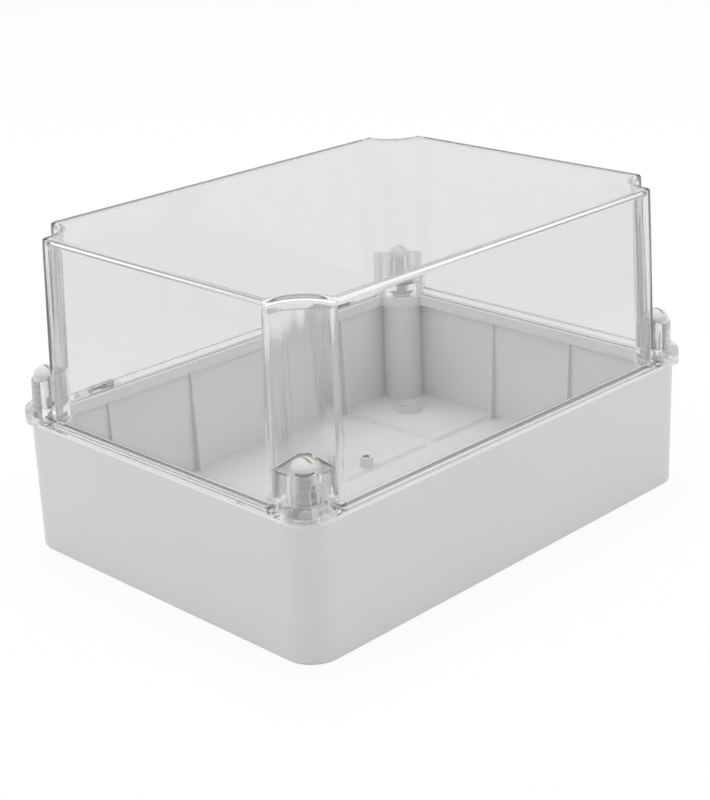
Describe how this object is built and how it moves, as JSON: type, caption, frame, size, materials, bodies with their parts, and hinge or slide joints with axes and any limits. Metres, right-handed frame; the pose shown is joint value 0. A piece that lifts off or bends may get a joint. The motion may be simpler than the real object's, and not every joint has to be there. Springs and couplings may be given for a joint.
{
  "type": "hinged polycarbonate enclosure",
  "caption": "Wall enclosure with a light grey box base, a deep clear domed lid on rear hinges and captive quarter-turn cover screws in the corners.",
  "frame": {"origin": "middle of the wall-fixing pattern on the underside of the base, closed lid up", "axes": "+X along the long side, +Y towards the hinge side, +Z from the back wall to the lid's top"},
  "size_m": [0.3086, 0.2359, 0.181],
  "materials": {
    "base_plastic": "light grey moulded plastic, fine even texture",
    "clear_polycarbonate": "clear polished polycarbonate",
    "seal_rubber": "soft light grey foam rubber",
    "screw_plastic": "light grey moulded plastic",
    "washer_rubber": "soft dark rubber",
    "keeper_plastic": "white moulded plastic",
    "socket_plastic": "grey moulded plastic",
    "pin_steel": "plain turned stainless steel",
    "plug_plastic": "light grey moulded plastic",
    "insert_steel": "zinc-plated turned steel"
  },
  "bodies": {
    "base": {"base": "base_plastic", "rim_seal": "seal_rubber", "socket_front_left": "socket_plastic", "socket_front_right": "socket_plastic", "socket_rear_left": "socket_plastic", "socket_rear_right": "socket_plastic", "hinge_pin_left": "pin_steel", "hinge_pin_right": "pin_steel", "fixing_plugs": "plug_plastic", "plate_inserts": "insert_steel"},
    "lid": {"lid": "clear_polycarbonate"},
    "screw_front_left": {"screw_front_left": "screw_plastic", "washer_front_left": "washer_rubber", "keeper_front_left": "keeper_plastic"},
    "screw_front_right": {"screw_front_right": "screw_plastic", "washer_front_right": "washer_rubber", "keeper_front_right": "keeper_plastic"},
    "screw_rear_left": {"screw_rear_left": "screw_plastic", "washer_rear_left": "washer_rubber", "keeper_rear_left": "keeper_plastic"},
    "screw_rear_right": {"screw_rear_right": "screw_plastic", "washer_rear_right": "washer_rubber", "keeper_rear_right": "keeper_plastic"}
  },
  "joints": [
    {"name": "lid_swing", "type": "hinge", "parent": "base", "child": "lid", "pos_m": [0, 0.1176, 0.0725], "axis": [-1, 0, 0], "range_deg": [0, 110]},
    {"name": "screw_front_left_turn", "type": "hinge", "parent": "lid", "child": "screw_front_left", "pos_m": [-0.141, -0.101, 0.1], "axis": [0, 0, 1], "range_deg": [0, 90]},
    {"name": "screw_front_right_turn", "type": "hinge", "parent": "lid", "child": "screw_front_right", "pos_m": [0.141, -0.101, 0.1], "axis": [0, 0, 1], "range_deg": [0, 90]},
    {"name": "screw_rear_left_turn", "type": "hinge", "parent": "lid", "child": "screw_rear_left", "pos_m": [-0.141, 0.101, 0.1], "axis": [0, 0, 1], "range_deg": [0, 90]},
    {"name": "screw_rear_right_turn", "type": "hinge", "parent": "lid", "child": "screw_rear_right", "pos_m": [0.141, 0.101, 0.1], "axis": [0, 0, 1], "range_deg": [0, 90]}
  ]
}
